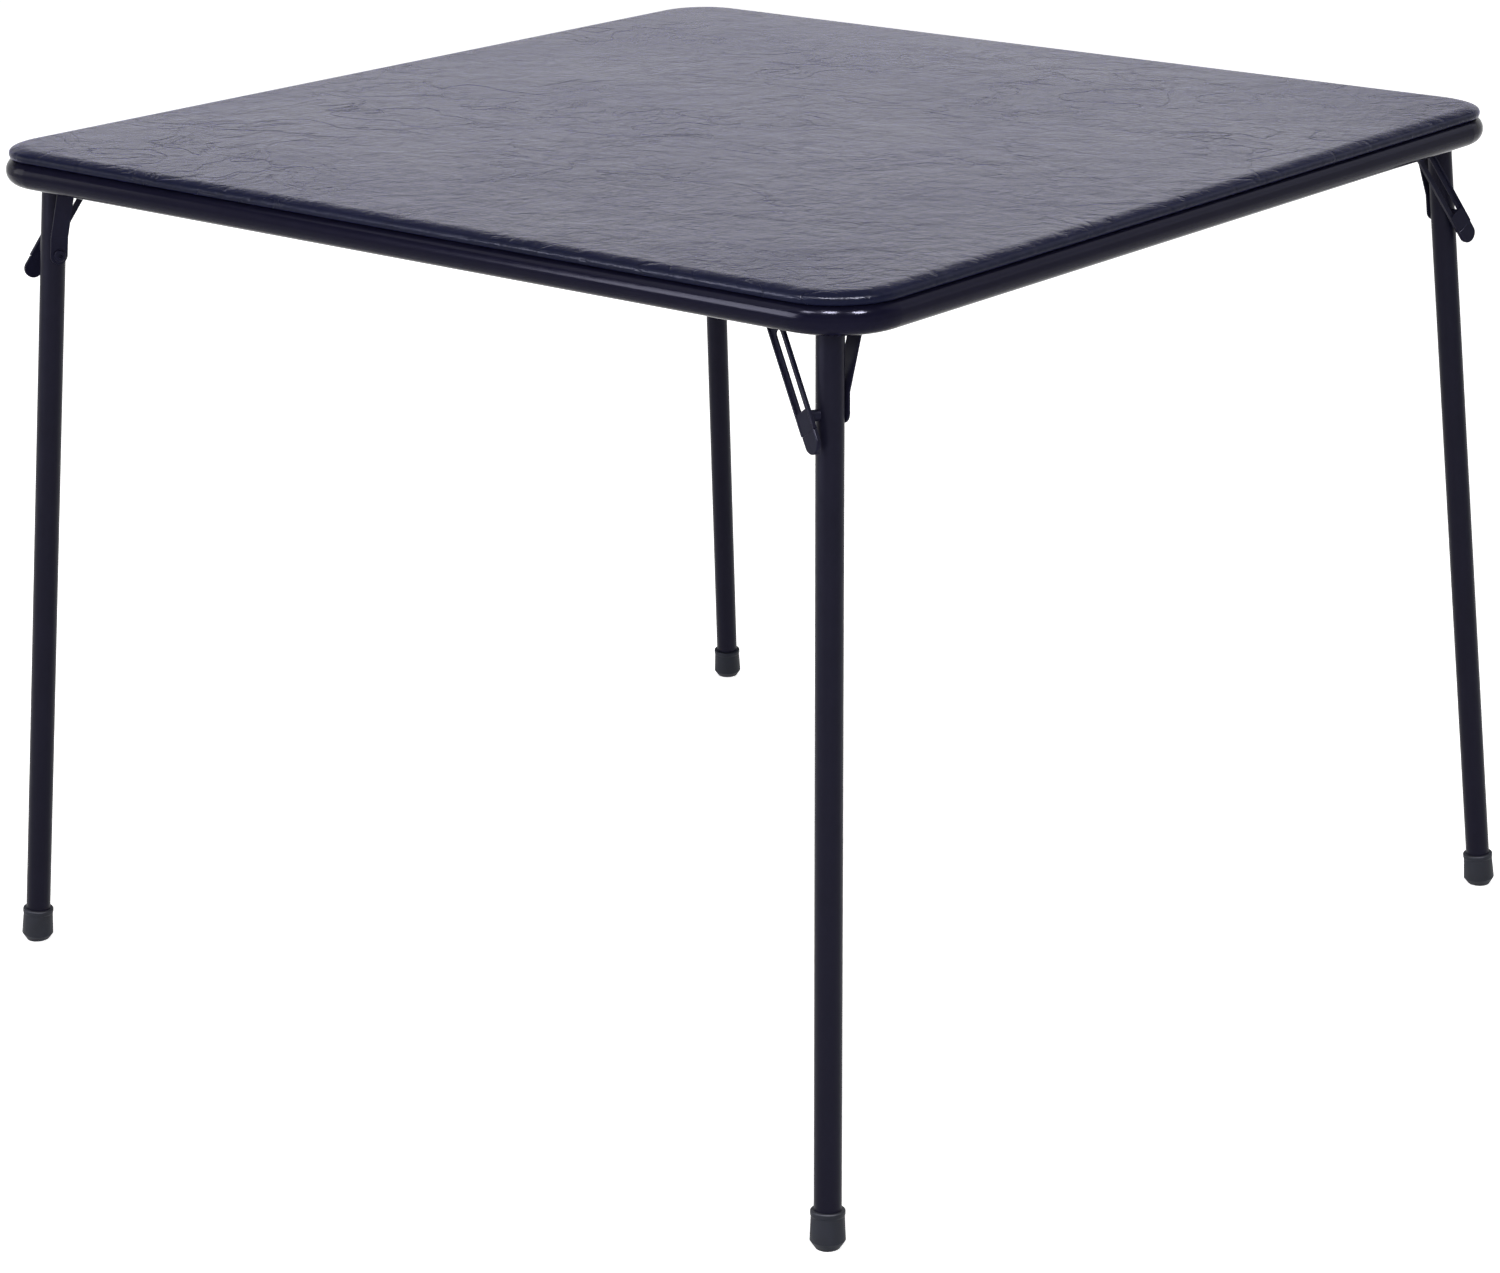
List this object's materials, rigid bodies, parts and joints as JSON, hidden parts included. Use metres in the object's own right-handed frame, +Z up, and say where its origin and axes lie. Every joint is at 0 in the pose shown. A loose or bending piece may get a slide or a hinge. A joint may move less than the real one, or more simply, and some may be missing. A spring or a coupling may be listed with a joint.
{
  "type": "folding card table",
  "caption": "Square card table with a padded vinyl top, a rolled steel rim and slanting tube legs that fold flat on slotted lock links.",
  "frame": {"origin": "on the floor under the middle of the top", "axes": "+Z up; the front side faces -Y and the right side faces +X; the table looks the same after each quarter turn about Z"},
  "size_m": [1.0282, 1.0282, 0.753],
  "materials": {
    "navy_vinyl": "embossed vinyl, satin",
    "pad_foam": "open cell foam",
    "board_wood": "plain hardboard",
    "rim_enamel": "glossy enamel",
    "leg_enamel": "satin enamel",
    "hardware_enamel": "satin enamel",
    "plated_steel": "zinc plated",
    "foot_rubber": "matt"
  },
  "bodies": {
    "top": {"frame_rail": "rim_enamel", "top_board": "board_wood", "foam_pad": "pad_foam", "vinyl_cover": "navy_vinyl", "board_screws": "plated_steel", "bracket_rivets": "plated_steel", "hinge_bracket_front_right": "hardware_enamel", "hinge_axle_front_right": "plated_steel", "link_pivot_front_right": "plated_steel", "hinge_bracket_front_left": "hardware_enamel", "hinge_axle_front_left": "plated_steel", "link_pivot_front_left": "plated_steel", "hinge_bracket_back_left": "hardware_enamel", "hinge_axle_back_left": "plated_steel", "link_pivot_back_left": "plated_steel", "hinge_bracket_back_right": "hardware_enamel", "hinge_axle_back_right": "plated_steel", "link_pivot_back_right": "plated_steel"},
    "leg_front_right": {"leg_tube_front_right": "leg_enamel", "leg_strut_front_right": "hardware_enamel", "axle_spacer_front_right": "plated_steel", "lock_stud_front_right": "hardware_enamel", "rubber_foot_front_right": "foot_rubber"},
    "link_front_right": {"lock_link_front_right": "hardware_enamel", "link_grip_front_right": "hardware_enamel"},
    "leg_front_left": {"leg_tube_front_left": "leg_enamel", "leg_strut_front_left": "hardware_enamel", "axle_spacer_front_left": "plated_steel", "lock_stud_front_left": "hardware_enamel", "rubber_foot_front_left": "foot_rubber"},
    "link_front_left": {"lock_link_front_left": "hardware_enamel", "link_grip_front_left": "hardware_enamel"},
    "leg_back_left": {"leg_tube_back_left": "leg_enamel", "leg_strut_back_left": "hardware_enamel", "axle_spacer_back_left": "plated_steel", "lock_stud_back_left": "hardware_enamel", "rubber_foot_back_left": "foot_rubber"},
    "link_back_left": {"lock_link_back_left": "hardware_enamel", "link_grip_back_left": "hardware_enamel"},
    "leg_back_right": {"leg_tube_back_right": "leg_enamel", "leg_strut_back_right": "hardware_enamel", "axle_spacer_back_right": "plated_steel", "lock_stud_back_right": "hardware_enamel", "rubber_foot_back_right": "foot_rubber"},
    "link_back_right": {"lock_link_back_right": "hardware_enamel", "link_grip_back_right": "hardware_enamel"}
  },
  "joints": [
    {"name": "leg_fold_front_right", "type": "hinge", "parent": "top", "child": "leg_front_right", "pos_m": [0.4305, -0.4415, 0.7253], "axis": [0.2751, 0.9593, -0.0637], "range_deg": [0, 94.1]},
    {"name": "link_swing_front_right", "type": "hinge", "parent": "top", "child": "link_front_right", "pos_m": [0.3858, -0.42868, 0.7253], "axis": [0.2751, 0.9593, -0.0637], "range_deg": [0, 124.5]},
    {"name": "leg_fold_front_left", "type": "hinge", "parent": "top", "child": "leg_front_left", "pos_m": [-0.4415, -0.4305, 0.7253], "axis": [0.9593, -0.2751, -0.0637], "range_deg": [0, 94.1]},
    {"name": "link_swing_front_left", "type": "hinge", "parent": "top", "child": "link_front_left", "pos_m": [-0.42868, -0.3858, 0.7253], "axis": [0.9593, -0.2751, -0.0637], "range_deg": [0, 124.5]},
    {"name": "leg_fold_back_left", "type": "hinge", "parent": "top", "child": "leg_back_left", "pos_m": [-0.4305, 0.4415, 0.7253], "axis": [-0.2751, -0.9593, -0.0637], "range_deg": [0, 94.1]},
    {"name": "link_swing_back_left", "type": "hinge", "parent": "top", "child": "link_back_left", "pos_m": [-0.3858, 0.42868, 0.7253], "axis": [-0.2751, -0.9593, -0.0637], "range_deg": [0, 124.5]},
    {"name": "leg_fold_back_right", "type": "hinge", "parent": "top", "child": "leg_back_right", "pos_m": [0.4415, 0.4305, 0.7253], "axis": [-0.9593, 0.2751, -0.0637], "range_deg": [0, 94.1]},
    {"name": "link_swing_back_right", "type": "hinge", "parent": "top", "child": "link_back_right", "pos_m": [0.42868, 0.3858, 0.7253], "axis": [-0.9593, 0.2751, -0.0637], "range_deg": [0, 124.5]}
  ],
  "couplings": [
    {"joint": "link_swing_front_right", "follows": "leg_fold_front_right", "ratio": 1.323},
    {"joint": "link_swing_front_left", "follows": "leg_fold_front_left", "ratio": 1.323},
    {"joint": "link_swing_back_left", "follows": "leg_fold_back_left", "ratio": 1.323},
    {"joint": "link_swing_back_right", "follows": "leg_fold_back_right", "ratio": 1.323}
  ]
}
